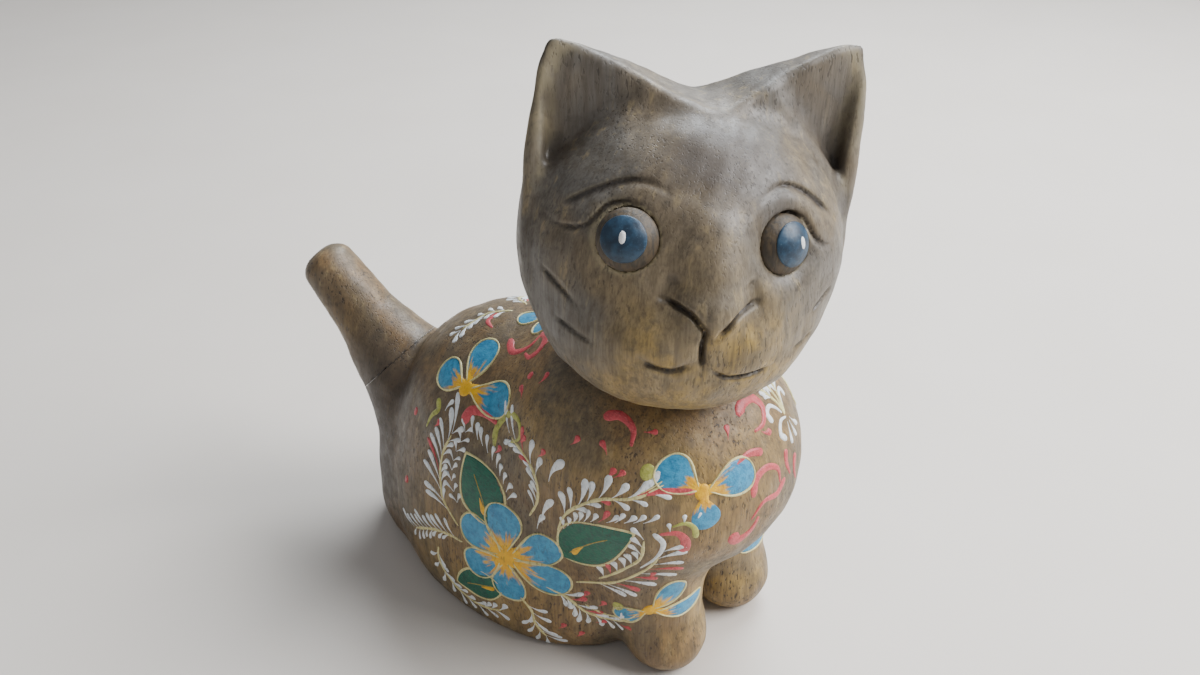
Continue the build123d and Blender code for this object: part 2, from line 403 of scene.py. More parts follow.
def surface_net(values, low, step):
    """Points and quads of the surface where the sampled field is zero."""
    inside = values < 0
    ends = [slice(None, -1), slice(1, None)]
    corners = [(i, j, k) for i in (0, 1) for j in (0, 1) for k in (0, 1)]
    full = sum(inside[ends[i], ends[j], ends[k]].astype(np.int8) for i, j, k in corners)
    mixed = (full > 0) & (full < 8)
    cells = np.argwhere(mixed)
    at = {c: values[tuple((cells + c).T)].astype(float) for c in corners}
    total, crossings = np.zeros((len(cells), 3)), np.zeros(len(cells))
    for a in corners:
        for axis in range(3):
            if a[axis]:
                continue
            b = tuple(v + (n == axis) for n, v in enumerate(a))
            va, vb = at[a], at[b]
            crossed = (va < 0) != (vb < 0)
            share = np.where(crossed, va / np.where(crossed, va - vb, 1), 0)
            point = np.array(a) + share[:, None] * (np.array(b) - a)
            total += np.where(crossed[:, None], point, 0)
            crossings += crossed
    points = low + step * (cells + total / crossings[:, None])
    index = np.full(mixed.shape, -1)
    index[mixed] = np.arange(len(cells))
    quads = []
    for axis in range(3):
        u, w = [np.eye(3, dtype=int)[(axis + n) % 3] for n in (1, 2)]
        lower = [slice(1, -1)] * 3
        upper = [slice(1, -1)] * 3
        lower[axis], upper[axis] = slice(0, -1), slice(1, None)
        a, b = inside[tuple(lower)], inside[tuple(upper)]
        start = np.ones(3, int)
        start[axis] = 0
        edges = np.argwhere(a != b) + start
        leaving = a[a != b]
        around = [edges, edges - u, edges - u - w, edges - w]
        quad = np.stack([index[tuple(e.T)] for e in around], 1)
        quads.append(np.where(leaving[:, None], quad, quad[:, ::-1]))
    return points, np.vstack(quads)


TETRAHEDRON = np.array([(1, -1, -1), (-1, -1, 1), (-1, 1, -1), (1, 1, 1)], float)
SLOPE_REACH = 0.06


def slope(field, points):
    """The field's outward normal and its steepness at each point."""
    total = np.zeros_like(points)
    for corner in TETRAHEDRON:
        total += in_batches(field, points + SLOPE_REACH * corner)[:, None] * corner
    total /= 4 * SLOPE_REACH
    length = np.linalg.norm(total, axis=-1) + 1e-9
    return total / length[:, None], length


def settle(field, points, rounds=2, limit=1.0):
    """Moves points onto the surface, and gives their normals."""
    for _ in range(rounds):
        normals, steepness = slope(field, points)
        move = np.clip(in_batches(field, points) / steepness, -limit, limit)
        points = points - move[:, None] * normals
    return points, slope(field, points)[0]


def beside_edge(points, outer, cut, reach):
    """True for the points close to both surfaces."""
    return (np.abs(in_batches(cut, points)) < reach) & (np.abs(in_batches(outer, points)) < reach)


def onto_edge(points, outer, cut):
    """Points moved onto the line where the two surfaces meet."""
    for _ in range(4):
        points = settle(cut, points, 1)[0]
        points = settle(outer, points, 1)[0]
    return points


def mesh_object(name, points, faces):
    """A smooth Blender object from points in millimetres and faces of one size."""
    mesh = bpy.data.meshes.new(name)
    mesh.from_pydata((np.asarray(points) * METRES).tolist(), [], np.asarray(faces).tolist())
    mesh.shade_smooth()
    mesh.validate()
    obj = bpy.data.objects.new(name, mesh)
    bpy.context.scene.collection.objects.link(obj)
    return obj


def set_attribute(obj, name, values):
    attribute = obj.data.attributes.new(name, "FLOAT", "POINT")
    attribute.data.foreach_set("value", np.asarray(values, np.float32))


def closeness(form, points, normals, reaches):
    """1 deep in a hollow and 0 in the open; with reaches below zero, 1 on a sharp ridge."""
    return sum(
        np.clip(1 - in_batches(form, points + reach * normals) / reach, 0, 1) for reach in reaches
    ) / len(reaches)


HOLLOW_REACHES, CUT_REACHES, RIDGE_REACHES = (1.2, 2.4, 4.0), (0.7,), (-0.8, -2.0)
EDGE_REACH = 0.62


def carve(name, node, field, whole, cut, step):
    """One carved piece of a whole form, sawn off where cut is zero.

    The hollows and rubbed edges of the whole form are stored for the stain and wear, and for the painted
    shade and highlight.
    """
    low, high = (np.array(corner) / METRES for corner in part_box(node))
    margin = 3 * step + 1.0
    values = sample(field, low - margin, high + margin, step)
    points, quads = surface_net(values, low - margin, step)
    edge = beside_edge(points, whole, cut, EDGE_REACH * step)
    edge_points = onto_edge(points[edge], whole, cut)
    points, normals = settle(field, points, limit=step)
    points[edge] = edge_points
    obj = mesh_object(name, points, quads)
    for attribute, reaches in (
        ("hollow", HOLLOW_REACHES), ("cut", CUT_REACHES), ("ridge", RIDGE_REACHES)
    ):
        set_attribute(obj, attribute, closeness(whole, points, normals, reaches))
    return obj


# ======== materials ========

def srgb(screen):
    """A linear colour from screen values, which run from 0 to 255."""
    return tuple(
        v / 255 / 12.92 if v < 10.3 else ((v / 255 + 0.055) / 1.055) ** 2.4 for v in screen
    )


class Look:
    """A material whose nodes are added one short call at a time.

    Colours are given as (red, green, blue) screen values.
    """

    def __init__(self, name, roughness, **sockets):
        self.material = bpy.data.materials.new(name)
        self.material.use_nodes = True
        self.tree = self.material.node_tree
        self.shader = self.tree.nodes["Principled BSDF"]
        self.shader.inputs["Roughness"].default_value = roughness
        for socket, value in sockets.items():
            self.shader.inputs[socket.replace("_", " ").title()].default_value = value
        self.millimetres = self.stretched((1000.0, 1000.0, 1000.0))

    def node(self, kind, inputs=(), **settings):
        node = self.tree.nodes.new("ShaderNode" + kind)
        for setting, value in settings.items():
            setattr(node, setting, value)
        for socket, value in dict(inputs).items():
            self.connect(value, node.inputs[socket])
        return node

    def connect(self, value, socket):
        if isinstance(value, bpy.types.NodeSocket):
            self.tree.links.new(value, socket)
        elif socket.type == "RGBA":
            socket.default_value = (*srgb(value), 1.0)
        else:
            socket.default_value = value

    def stretched(self, scale):
        """The point in the row frame, times scale."""
        place = self.node("TexCoord").outputs["Object"]
        return self.node("Mapping", {"Vector": place, "Scale": scale}).outputs[0]

    def noise(self, scale, detail=2.0, vector=None, distortion=0.0, roughness=0.5):
        vector = vector or self.millimetres
        inputs = {"Vector": vector, "Scale": scale, "Detail": detail,
                  "Distortion": distortion, "Roughness": roughness}
        return self.node("TexNoise", inputs).outputs["Fac"]

    def attribute(self, name):
        return self.node("Attribute", attribute_name=name).outputs["Fac"]

    def fade(self, value, low, high, start=0.0, end=1.0):
        """Start below low, end above high, smooth between."""
        inputs = {"Value": value, "From Min": low, "From Max": high,
                  "To Min": start, "To Max": end}
        return self.node("MapRange", inputs, interpolation_type="SMOOTHSTEP").outputs[0]

    def math(self, operation, a, b):
        return self.node("Math", {0: a, 1: b}, operation=operation).outputs[0]

    def times(self, a, b):
        return self.math("MULTIPLY", a, b)

    def mix(self, factor, a, b):
        return self.node("Mix", {0: factor, 6: a, 7: b}, data_type="RGBA").outputs[2]

    def stain(self, colour, over, value, low, high, start=0.0, end=1.0):
        """The colour, with another laid over it where the value is high."""
        return self.mix(self.fade(value, low, high, start, end), colour, over)

    def colour(self, value):
        self.connect(value, self.shader.inputs["Base Color"])

    def roughness(self, value):
        self.connect(value, self.shader.inputs["Roughness"])

    def bump(self, height, distance, strength=1.0):
        inputs = {"Height": height, "Distance": distance, "Strength": strength}
        bumped = self.node("Bump", inputs).outputs[0]
        self.connect(bumped, self.shader.inputs["Normal"])


def pores(look):
    """1 in the wood's fine upright pores, less where the grain is closed, and 0 between them."""
    upright = look.stretched((1000.0, 1000.0, 330.0))
    fine = look.noise(2.0, 1.5, upright, roughness=0.6)
    patches = look.noise(0.075, 2.0)
    open_grain = look.fade(patches, 0.40, 0.68)
    dark = look.fade(fine, 0.57, 0.67)
    return look.times(dark, look.fade(open_grain, 0.0, 1.0, 0.35, 1.0))


def wood_look(name, brown, grey, ochre, pitted):
    """Stained soft wood: paler on ridges, from rubbed wear and a painted highlight; darker in hollows
    and cuts, from stain and painted shade; with painted shade where the tones put it, and upright grain
    and pores.
    """
    look = Look(name, 0.5, coat_weight=0.08, coat_roughness=0.4)
    broad = look.noise(0.045, 3.0, distortion=0.6)
    streak = look.noise(1.0, 3.0, look.stretched((620.0, 620.0, 46.0)), distortion=0.3)
    grain = look.noise(1.0, 2.0, look.stretched((2600.0, 2600.0, 210.0)))
    mottle = look.noise(0.35, 4.0, roughness=0.7)
    colour = look.mix(look.fade(broad, 0.36, 0.62), brown, grey)
    patch = look.noise(0.13, 3.0, roughness=0.6)
    warmth = look.times(look.attribute("warmth"), look.fade(patch, 0.40, 0.62, 1.0, 0.4))
    colour = look.mix(warmth, colour, ochre)
    colour = look.stain(colour, (74, 63, 46), streak, 0.42, 0.70, 0.0, 0.5)
    colour = look.stain(colour, (174, 154, 110), streak, 0.28, 0.44, 0.35, 0.0)
    colour = look.stain(colour, (64, 60, 53), mottle, 0.50, 0.72, 0.0, 0.45)
    colour = look.stain(colour, (52, 42, 30), grain, 0.40, 0.66, 0.0, 0.30)
    # ridges paler: rubbed wear, and a painted highlight
    rubbed_and_highlit = look.fade(look.attribute("ridge"), 0.22, 0.7, 0.0, 0.45)
    rubbed_and_highlit = look.times(rubbed_and_highlit, look.fade(mottle, 0.34, 0.56, 0.45, 1.0))
    colour = look.mix(rubbed_and_highlit, colour, (170, 158, 122))
    # hollows darker: stain gathered in them, and painted shade
    stain_and_painted_shade = look.fade(look.attribute("hollow"), 0.10, 0.55, 0.0, 0.66)
    colour = look.mix(stain_and_painted_shade, colour, (48, 40, 31))
    # painted shade: darker where the tones put it, on the brow, inside the ears, over the rump and in
    # the crease by the tail
    colour = look.mix(look.attribute("smoke"), colour, (64, 54, 44))
    # carved cuts darker: stain in them, and painted shade
    stain_and_shade_in_cuts = look.fade(look.attribute("cut"), 0.22, 0.75, 0.0, 0.7)
    colour = look.mix(stain_and_shade_in_cuts, colour, (42, 35, 29))
    pore = pores(look)
    colour = look.mix(look.times(pore, pitted), colour, (34, 27, 21))
    look.colour(colour)
    look.roughness(look.fade(mottle, 0.3, 0.7, 0.40, 0.62))
    relief = look.math("SUBTRACT", look.times(grain, 0.35), pore)
    relief = look.math("ADD", relief, look.times(mottle, 0.5))
    look.bump(relief, 0.0002, 0.6 * pitted)
    return look.material


def paint_look(name, body, deep, pale, shine=0.42):
    """Brushed gloss paint, thin enough for the pores to show."""
    look = Look(name, shine, coat_weight=0.15, coat_roughness=0.25)
    cloud = look.noise(0.8, 3.0, roughness=0.65)
    bristle = look.noise(1.0, 2.0, look.stretched((3800.0, 1100.0, 2600.0)))
    colour = look.mix(look.fade(cloud, 0.40, 0.68, 0.0, 0.75), body, deep)
    colour = look.mix(look.fade(bristle, 0.50, 0.74, 0.0, 0.55), colour, pale)
    colour = look.mix(look.times(pores(look), 0.45), colour, (45, 36, 28))
    look.colour(colour)
    look.roughness(look.fade(bristle, 0.3, 0.7, shine, shine + 0.16))
    look.bump(look.math("ADD", bristle, cloud), 0.00012, 0.6)
    return look.material


def petal_look():
    """Blue paint with orange brushed out from the flower's middle."""
    look = Look("petal_paint", 0.42, coat_weight=0.15, coat_roughness=0.25)
    cloud = look.noise(0.7, 3.0, roughness=0.65)
    bristle = look.noise(1.0, 2.0, look.stretched((2400.0, 1500.0, 3600.0)))
    blue = look.mix(look.fade(cloud, 0.38, 0.66), (56, 150, 190), (34, 122, 164))
    blue = look.stain(blue, (84, 158, 204), bristle, 0.52, 0.75, 0.0, 0.4)
    swing = look.attribute("swing")
    ray = look.node("CombineXYZ", {"X": swing, "Y": look.times(look.attribute("reach"), 0.5)})
    rays = look.noise(5.0, 2.0, ray.outputs[0], roughness=0.6)
    edge = look.math("SUBTRACT", look.attribute("reach"), look.times(rays, 0.8))
    orange = look.mix(look.fade(cloud, 0.35, 0.65), (240, 184, 0), (222, 158, 0))
    colour = look.mix(look.fade(edge, -0.07, 0.06, 0.95, 0.0), blue, orange)
    colour = look.mix(look.times(pores(look), 0.4), colour, (38, 44, 50))
    look.colour(colour)
    look.bump(look.math("ADD", bristle, cloud), 0.00012, 0.6)
    return look.material


def eye_look():
    """Slate enamel, a little uneven."""
    look = Look("eye_enamel", 0.45)
    cloud = look.noise(0.55, 3.0, roughness=0.6)
    speck = look.noise(3.2, 2.0, roughness=0.7)
    colour = look.mix(look.fade(cloud, 0.36, 0.66), (20, 42, 60), (36, 67, 90))
    colour = look.stain(colour, (72, 106, 126), speck, 0.60, 0.76, 0.0, 0.5)
    look.colour(colour)
    look.roughness(look.fade(speck, 0.35, 0.7, 0.38, 0.52))
    look.bump(cloud, 0.0002, 0.4)
    return look.material


def floor_look():
    look = Look("pale_floor", 0.55)
    cloud = look.noise(0.02, 3.0)
    look.colour(look.mix(cloud, (214, 206, 196), (222, 215, 206)))
    return look.material


BODY_STAIN = (130, 102, 65), (110, 98, 78), (168, 138, 76)
HEAD_STAIN = (122, 108, 85), (104, 100, 93), (160, 132, 66)

# ======== wooden pieces ========

WOOD_STEP = {"body": 0.62, "head": 0.46, "tail": 0.5}
SAWN_ANGLE = math.radians(50)


def near(p, centre, size, soft=1.0):
    """1 at the centre of a soft ball and 0 outside it; soft is the share of it that fades."""
    distance = np.linalg.norm((p - np.array(centre)) / np.array(size), axis=-1)
    return np.clip((1 - distance) / soft, 0, 1) ** 1.5


def wooden_piece(name, node, field, whole, cut, material, tone):
    """A carved piece in place of the frame's node, stained, and given painted shade, by its tones."""
    step = WOOD_STEP[node] * 1.0
    obj = carve(name, node, field, whole, cut, step)
    points = np.array([v.co for v in obj.data.vertices]) / METRES
    for attribute, values in tone(points).items():
        set_attribute(obj, attribute, values)
    obj.data.set_sharp_from_angle(angle=SAWN_ANGLE)
    obj.data.materials.append(material)
    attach(obj, "root")
    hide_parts(node)
    return obj


def head_tone(p):
    """Where the head's stain is warm, and where shade is painted on it."""
    q = in_head(p)
    chin = near(q, (0, -22, -14), (26, 24, 17), 0.6)
    cheeks = 0.5 * near(q, (0, -22, -4), (30, 20, 18), 0.8)
    # painted shade on the brow and in the ear hollows
    brow = near(q, (0, -15, 21), (19, 20, 14), 0.7)
    ears_inside = near(q, (-18, 0, 26), (14, 10, 20)) + near(q, (20, 0, 26), (14, 10, 20))
    smoke = 0.85 * np.clip(brow + 0.5 * ears_inside, 0, 1)
    return {"warmth": np.clip(chin + cheeks, 0, 1), "smoke": smoke}


def body_tone(p):
    """The same for the body and the tail."""
    belly = near(p, (-24, 5, 14), (20, 40, 30), 0.8)
    chest = 0.9 * near(p, (-4, -36, 52), (36, 30, 26), 0.9)
    paws = 0.9 * near(p, (6, -33, 16), (30, 20, 26), 0.6)
    shoulder = 0.6 * near(p, (-22, -12, 56), (20, 26, 16), 0.8)
    tail = 0.4 * near(p, (-14, 60, 50), (10, 14, 12), 0.8)
    # painted shade over the rump and in the crease beside the tail
    crease = near(p, (-16, 35, 44), (7, 9, 20), 0.8)
    shade = 0.9 * near(p, (-16, 46, 28), (22, 28, 46), 0.8) + 0.5 * crease
    warmth = np.clip(0.7 * belly + (chest + paws) + shoulder + tail, 0, 1)
    return {"warmth": warmth, "smoke": np.clip(shade, 0, 1)}


body_wood_look = wood_look("body_wood", *BODY_STAIN, pitted=0.8)
head_wood_look = wood_look("head_wood", *HEAD_STAIN, pitted=0.55)

wooden_piece("body_wood", "body", body_wood, body_form, body_sawn, body_wood_look, body_tone)
wooden_piece("head_wood", "head", head_wood, head_form, head_sawn, head_wood_look, head_tone)
wooden_piece("tail_wood", "tail", tail_wood, body_form, tail_sawn, body_wood_look, body_tone)

for node in ("neck_dowel", "tail_dowel"):
    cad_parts[node].data.materials.clear()
    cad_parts[node].data.materials.append(body_wood_look)

# ======== paint ========

# heights over the wood, with the rim and the underside of each stroke sunk into it
PAINT_RISE, LEAF_RISE, PETAL_RISE, CORE_RISE = 0.17, 0.09, 0.15, 0.24
PAINT_EDGE, PAINT_ROOT = -0.04, 0.15
# half-widths of lines
OUTLINE, STEM_HALF, FINEST_HALF = 0.23, 0.35, 0.07
# the share of a comma that is its head, and a line's thickness at its ends against its middle
COMMA_HEAD, THREAD_END = 0.2, 0.35
# factors on the drawn sizes and on the number of marks along a stem
STROKE_LENGTH, STROKE_WIDTH, STROKE_COUNT, SCROLL_WIDTH = 1.34, 1.22, 1.25, 1.2
brush = np.random.default_rng(11)


class Sheet:
    """A flat drawing laid against a form; its points drop onto the form along its normal.

    Across runs towards the cat's front on its right flank and up runs upwards, in millimetres
    from the anchor.  The mirrored sheet carries the same drawing on the left.
    """

    HALF, SPACING, START, DEEPEST = 42.0, 1.5, 16.0, -30.0
    DROPS, DROP_SHARE = 36, 0.8

    def __init__(self, anchor, form=body_form, mirror=False):
        points, normals = settle(form, np.array([anchor], float), rounds=6, limit=4.0)
        self.form = form
        self.centre, self.normal = points[0], normals[0]
        up = np.array([0, 0, 1.0]) - self.normal[2] * self.normal
        self.up = up / np.linalg.norm(up)
        self.across = np.cross(self.up, self.normal) * (-1 if mirror else 1)
        marks = np.arange(-self.HALF, self.HALF + self.SPACING, self.SPACING)
        u, v = np.meshgrid(marks, marks, indexing="ij")
        plane = self.centre + u[..., None] * self.across + v[..., None] * self.up
        height = np.full(u.shape, self.START)
        for _ in range(self.DROPS):
            points = (plane + height[..., None] * self.normal).reshape(-1, 3)
            drop = in_batches(form, points).reshape(u.shape)
            height = np.maximum(height - self.DROP_SHARE * drop, self.DEEPEST)
        self.height = height

    def at(self, drawn):
        """Points on the form under the drawn points."""
        drawn = np.asarray(drawn, float)
        place = np.clip((drawn + self.HALF) / self.SPACING, 0, len(self.height) - 1.001)
        cell = place.astype(int)
        i, j = cell[..., 0], cell[..., 1]
        f, g = (place - cell)[..., 0], (place - cell)[..., 1]
        h = self.height
        height = ((h[i, j] * (1 - f) + h[i + 1, j] * f) * (1 - g)
                  + (h[i, j + 1] * (1 - f) + h[i + 1, j + 1] * f) * g)
        return (self.centre + drawn[..., :1] * self.across + drawn[..., 1:] * self.up
                + height[..., None] * self.normal)


class Paint:
    """All the strokes of one paint: thin closed solids that follow the wood."""

    ACROSS = np.array([-1, -0.74, -0.3, 0.3, 0.74, 1])

    def __init__(self, name, look, form=body_form, slot="brushed_paint"):
        self.name, self.look, self.form, self.slot = name, look, form, slot
        self.grids, self.lifts, self.reach, self.swing = [], [], [], []

    def stroke(self, spine, halves, rise=PAINT_RISE, across=None, swing=0.0):
        """A brush stroke along points on the form, and the lines of its two edges."""
        across = self.ACROSS if across is None else across
        halves = np.broadcast_to(halves, len(spine))
        normals = slope(self.form, spine)[0]
        along = np.gradient(spine, axis=0)
        side = np.cross(normals, along)
        side /= np.linalg.norm(side, axis=-1)[:, None] + 1e-9
        offset = halves[:, None] * across
        grid = spine[:, None] + offset[..., None] * side[:, None]
        full = np.clip(halves / (0.5 * halves.max()), 0, 1)
        lift = rise * (1 - np.abs(across) ** 3) * full[:, None]
        lift[:, [0, -1]] = PAINT_EDGE
        lift[[0, -1]] = PAINT_EDGE
        self.grids.append(grid)
        self.lifts.append(lift)
        steps = np.linspace(0, 1, len(spine))
        self.reach.append(np.broadcast_to(steps[:, None], lift.shape))
        self.swing.append(np.broadcast_to(swing + 0.5 * across, lift.shape))
        return grid[:, 0], grid[:, -1]

    def finish(self):
        """The mesh of every stroke so far."""
        points = np.vstack([g.reshape(-1, 3) for g in self.grids])
        lifts = np.concatenate([lift.ravel() for lift in self.lifts])
        points, normals = settle(self.form, points, rounds=3, limit=0.6)
        top = points + lifts[:, None] * normals
        bottom = points - PAINT_ROOT * normals
        count, first, quads = len(points), 0, []
        for grid in self.grids:
            rows, columns = grid.shape[:2]
            n = first + np.arange(rows * columns).reshape(rows, columns)
            a, b, c, d = (k.ravel() for k in (n[:-1, :-1], n[1:, :-1], n[1:, 1:], n[:-1, 1:]))
            quads.append(np.stack([a, b, c, d], 1))
            quads.append(np.stack([a, d, c, b], 1) + count)
            rim = np.concatenate([n[:-1, 0], n[-1, :-1], n[:0:-1, -1], n[0, :0:-1]])
            ahead = np.roll(rim, -1)
            quads.append(np.stack([rim + count, ahead + count, ahead, rim], 1))
            first += rows * columns
        obj = mesh_object(self.name, np.vstack([top, bottom]), np.vstack(quads))
        for name, values in (("reach", self.reach), ("swing", self.swing)):
            flat = np.concatenate([v.ravel() for v in values])
            set_attribute(obj, name, np.concatenate([flat, flat]))
        obj.data.materials.append(self.look)
        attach(obj, "root")
        return obj


def heading(degrees):
    """The direction at that angle on a sheet, anticlockwise from across."""
    return np.array([math.cos(math.radians(degrees)), math.sin(math.radians(degrees))])


def left_of(way):
    return np.array([-way[1], way[0]])


def eased(count):
    """Values from 0 to 1, closer together towards both ends."""
    return (1 - np.cos(np.linspace(0, math.pi, count))) / 2


def comma(paint, sheet, head, tail, bend, radius):
    """A pressed brush mark: a round head that thins to its tail."""
    head, tail = np.array(head, float), np.array(tail, float)
    run = tail - head
    middle = (head + tail) / 2 + bend * left_of(run)
    t = np.array([0, 0.03, 0.09, 0.18, 0.3, 0.45, 0.6, 0.75, 0.88, 1.0])[:, None]
    spine = (1 - t) ** 2 * head + 2 * t * (1 - t) * middle + t**2 * tail
    t = t[:, 0]
    ball = np.sqrt(np.clip(1 - ((COMMA_HEAD - t) / COMMA_HEAD) ** 2, 0, 1))
    thin = np.clip((1 - t) / (1 - COMMA_HEAD), 0, 1) ** 1.8
    halves = radius * np.where(t < COMMA_HEAD, ball, thin)
    paint.stroke(sheet.at(spine), np.maximum(halves, FINEST_HALF))


def thread(paint, sheet, points, half, steps=6):
    """A drawn line, a little uneven, thin at its ends."""
    spine = smooth_line(points, steps)
    t = np.linspace(0, 1, len(spine))
    uneven = 1 + 0.18 * np.sin(23 * t + 3 * half) + 0.1 * np.sin(61 * t)
    taper = np.clip(np.minimum(t, 1 - t) / 0.12, 0, 1) * (1 - THREAD_END) + THREAD_END
    paint.stroke(sheet.at(spine), half * uneven * taper)


def scroll(paint, sheet, points, half):
    """A thick brushed curve, fattest just after its start."""
    spine = smooth_line(points, 6)
    t = np.linspace(0, 1, len(spine))
    halves = SCROLL_WIDTH * half * np.clip(t / 0.10, 0.12, 1) ** 0.5 * (1 - 0.75 * t**1.6)
    paint.stroke(sheet.at(spine), np.maximum(halves, 0.1))


def dab(paint, sheet, centre, radius, stretch=1.0, rise=PAINT_RISE, lean=0.4):
    """A round spot of paint."""
    t = np.cos(np.linspace(math.pi, 0, 9))
    spine = np.array(centre) + np.stack([lean * t, t], 1) * radius * stretch
    paint.stroke(sheet.at(spine), radius * np.sqrt(np.maximum(1 - t * t, 0.004)), rise)


def oval(t, widest, root):
    """Half-width of a petal along its length: round at the tip, narrow at the root."""
    lower = 1 - np.clip(1 - t / widest, 0, 1) ** 1.6
    upper = np.clip(1 - np.clip((t - widest) / (1 - widest), 0, 1) ** 2.7, 0, 1) ** 0.5
    return np.where(t < widest, np.maximum(lower, root), upper)


def outline(left, right, half, rise):
    """A cream line round a filled shape, from its root up one edge and down the other."""
    edge = np.vstack([left[1:], right[-2:0:-1]])
    t = np.linspace(0, 1, len(edge))
    uneven = 1 + 0.25 * np.sin(17 * t + left[0, 2]) + 0.12 * np.sin(41 * t)
    uneven *= np.clip(np.minimum(t, 1 - t) / 0.06, 0.35, 1)
    cream.stroke(edge, half * uneven, rise)


FILL = np.array([-1, -0.86, -0.5, 0, 0.5, 0.86, 1])


def petal(sheet, centre, angle, length, width, height, edged):
    """One blue petal and, where edged, the cream line round it."""
    way = heading(angle)
    t = eased(17)
    bow = 0.06 * length * np.sin(math.pi * t) * brush.uniform(-1, 1)
    reach = length * (0.10 + 0.90 * t)
    spine = np.array(centre) + reach[:, None] * way + bow[:, None] * left_of(way)
    halves = np.maximum(width / 2 * oval(t, 0.62, 0.12), 0.12)
    left, right = petals.stroke(sheet.at(spine), halves, height, FILL, swing=angle / 9)
    if edged:
        outline(left, right, OUTLINE, CORE_RISE)


def flower(sheet, centre, blades, core, unedged=()):
    """Petals as (angle, length, width), with orange brushed out over them."""
    for n, (angle, length, width) in enumerate(blades):
        petal(sheet, centre, angle, length, width, PETAL_RISE + 0.012 * n, n not in unedged)
    dab(orange, sheet, centre, 0.85 * core, rise=CORE_RISE)
    for angle, length, width in blades:
        for turn in (-13, 0, 13):
            way = heading(angle + turn + brush.uniform(-4, 4))
            start = np.array(centre) + 0.3 * core * way
            end = np.array(centre) + way * length * brush.uniform(0.40, 0.66)
            comma(orange, sheet, start, end, 0.0, 0.42 * core)


def leaf(sheet, root, tip, width, lean):
    """A green leaf with a cream edge, a gold vein and an orange touch at its root."""
    root, tip = np.array(root, float), np.array(tip, float)
    run = tip - root
    t = eased(19)
    bow = lean * np.sin(math.pi * t)[:, None] * left_of(run)
    spine = root + t[:, None] * run + bow
    halves = np.maximum(width / 2 * np.sin(math.pi * t**0.85) ** 0.85, 0.1)
    left, right = green.stroke(sheet.at(spine), halves, LEAF_RISE, FILL)
    outline(left, right, 1.15 * OUTLINE, LEAF_RISE + 0.04)
    vein = spine[(t > 0.10) & (t < 0.80)]
    thread(vein_gold, sheet, vein, 0.16, steps=2)
    comma(orange, sheet, root + 0.16 * run, root + 0.54 * run + bow[len(t) // 2], 0.1, 0.85)


def frond(sheet, stem, *rows, drawn=True):
    """Rows of brush marks along a curved stem, tails to the stem.

    A row is (side, count, length, angle, start, end, radius), then the numbers of its coral marks.
    """
    spine = smooth_line(stem, 10)
    if drawn:
        thread(cream, sheet, stem, STEM_HALF, 8)
    lengths = np.concatenate([[0], np.cumsum(np.linalg.norm(np.diff(spine, axis=0), axis=1))])

    def along(distance):
        return np.array([np.interp(distance, lengths, spine[:, k]) for k in (0, 1)])

    for side, count, length, angle, start, end, radius, *corals in rows:
        for n, t in enumerate(np.linspace(start, end, round(STROKE_COUNT * count))):
            far = lengths[-1] * t
            foot = along(far)
            ahead = along(far + 0.5) - along(max(far - 1, 0))
            ahead /= np.linalg.norm(ahead) + 1e-9
            a = side * math.radians(angle + brush.uniform(-7, 7))
            way = math.cos(a) * ahead + math.sin(a) * left_of(ahead)
            size = STROKE_LENGTH * length * brush.uniform(0.82, 1.15)
            thickness = STROKE_WIDTH * radius * brush.uniform(0.85, 1.2)
            paint = coral if n in corals else white
            comma(paint, sheet, foot + size * way, foot, 0.16 * side, thickness)


